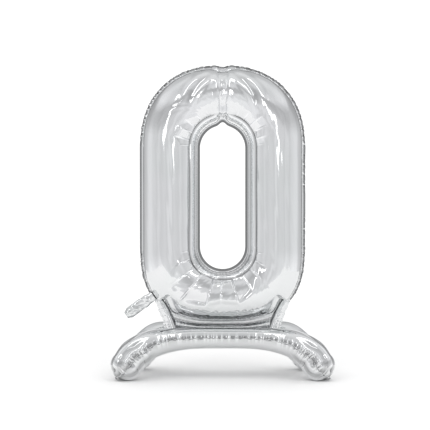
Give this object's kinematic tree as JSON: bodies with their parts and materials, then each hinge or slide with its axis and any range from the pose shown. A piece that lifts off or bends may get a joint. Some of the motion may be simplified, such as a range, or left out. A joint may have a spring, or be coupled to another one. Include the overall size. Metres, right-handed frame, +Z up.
{
  "type": "standing foil number balloon",
  "caption": "Standing metallised-film zero: an inflated ring of front and back panels welded along a neck to an arched base with drooping feet, and a filling tail.",
  "frame": {"origin": "middle of the bounding box's bottom face, on the floor", "axes": "+Z up, +X across the front of the zero, +Y away from the viewer of its front, through the hole"},
  "size_m": [0.5424, 0.259, 0.774],
  "materials": {
    "silver_foil": "mirror-like metallised film, creased near its seams",
    "valve_film": "thin translucent film"
  },
  "bodies": {
    "base": {"gusset_fold_web": "silver_foil", "front_leg_top_panel": "silver_foil", "front_leg_gusset_panel": "silver_foil", "rear_leg_top_panel": "silver_foil", "rear_leg_gusset_panel": "silver_foil"},
    "number": {"number_front_panel": "silver_foil", "number_back_panel": "silver_foil", "neck_weld_web": "silver_foil", "left_air_channel": "silver_foil", "right_air_channel": "silver_foil", "valve_inner_front_film": "valve_film", "valve_inner_back_film": "valve_film"},
    "filling_tail": {"tail_front_film": "silver_foil", "tail_back_film": "silver_foil", "valve_mouth_front_film": "valve_film", "valve_mouth_back_film": "valve_film"}
  },
  "joints": [
    {"name": "number_lean", "type": "hinge", "parent": "base", "child": "number", "pos_m": [0, 0, 0.128], "axis": [1, 0, 0], "range_deg": [-10, 10], "stiffness_Nm_per_rad": 0.5},
    {"name": "tail_fold", "type": "hinge", "parent": "number", "child": "filling_tail", "pos_m": [-0.17802, 0, 0.19452], "axis": [0.5807, 0, -0.8141], "range_deg": [-60, 60], "stiffness_Nm_per_rad": 0.003}
  ]
}
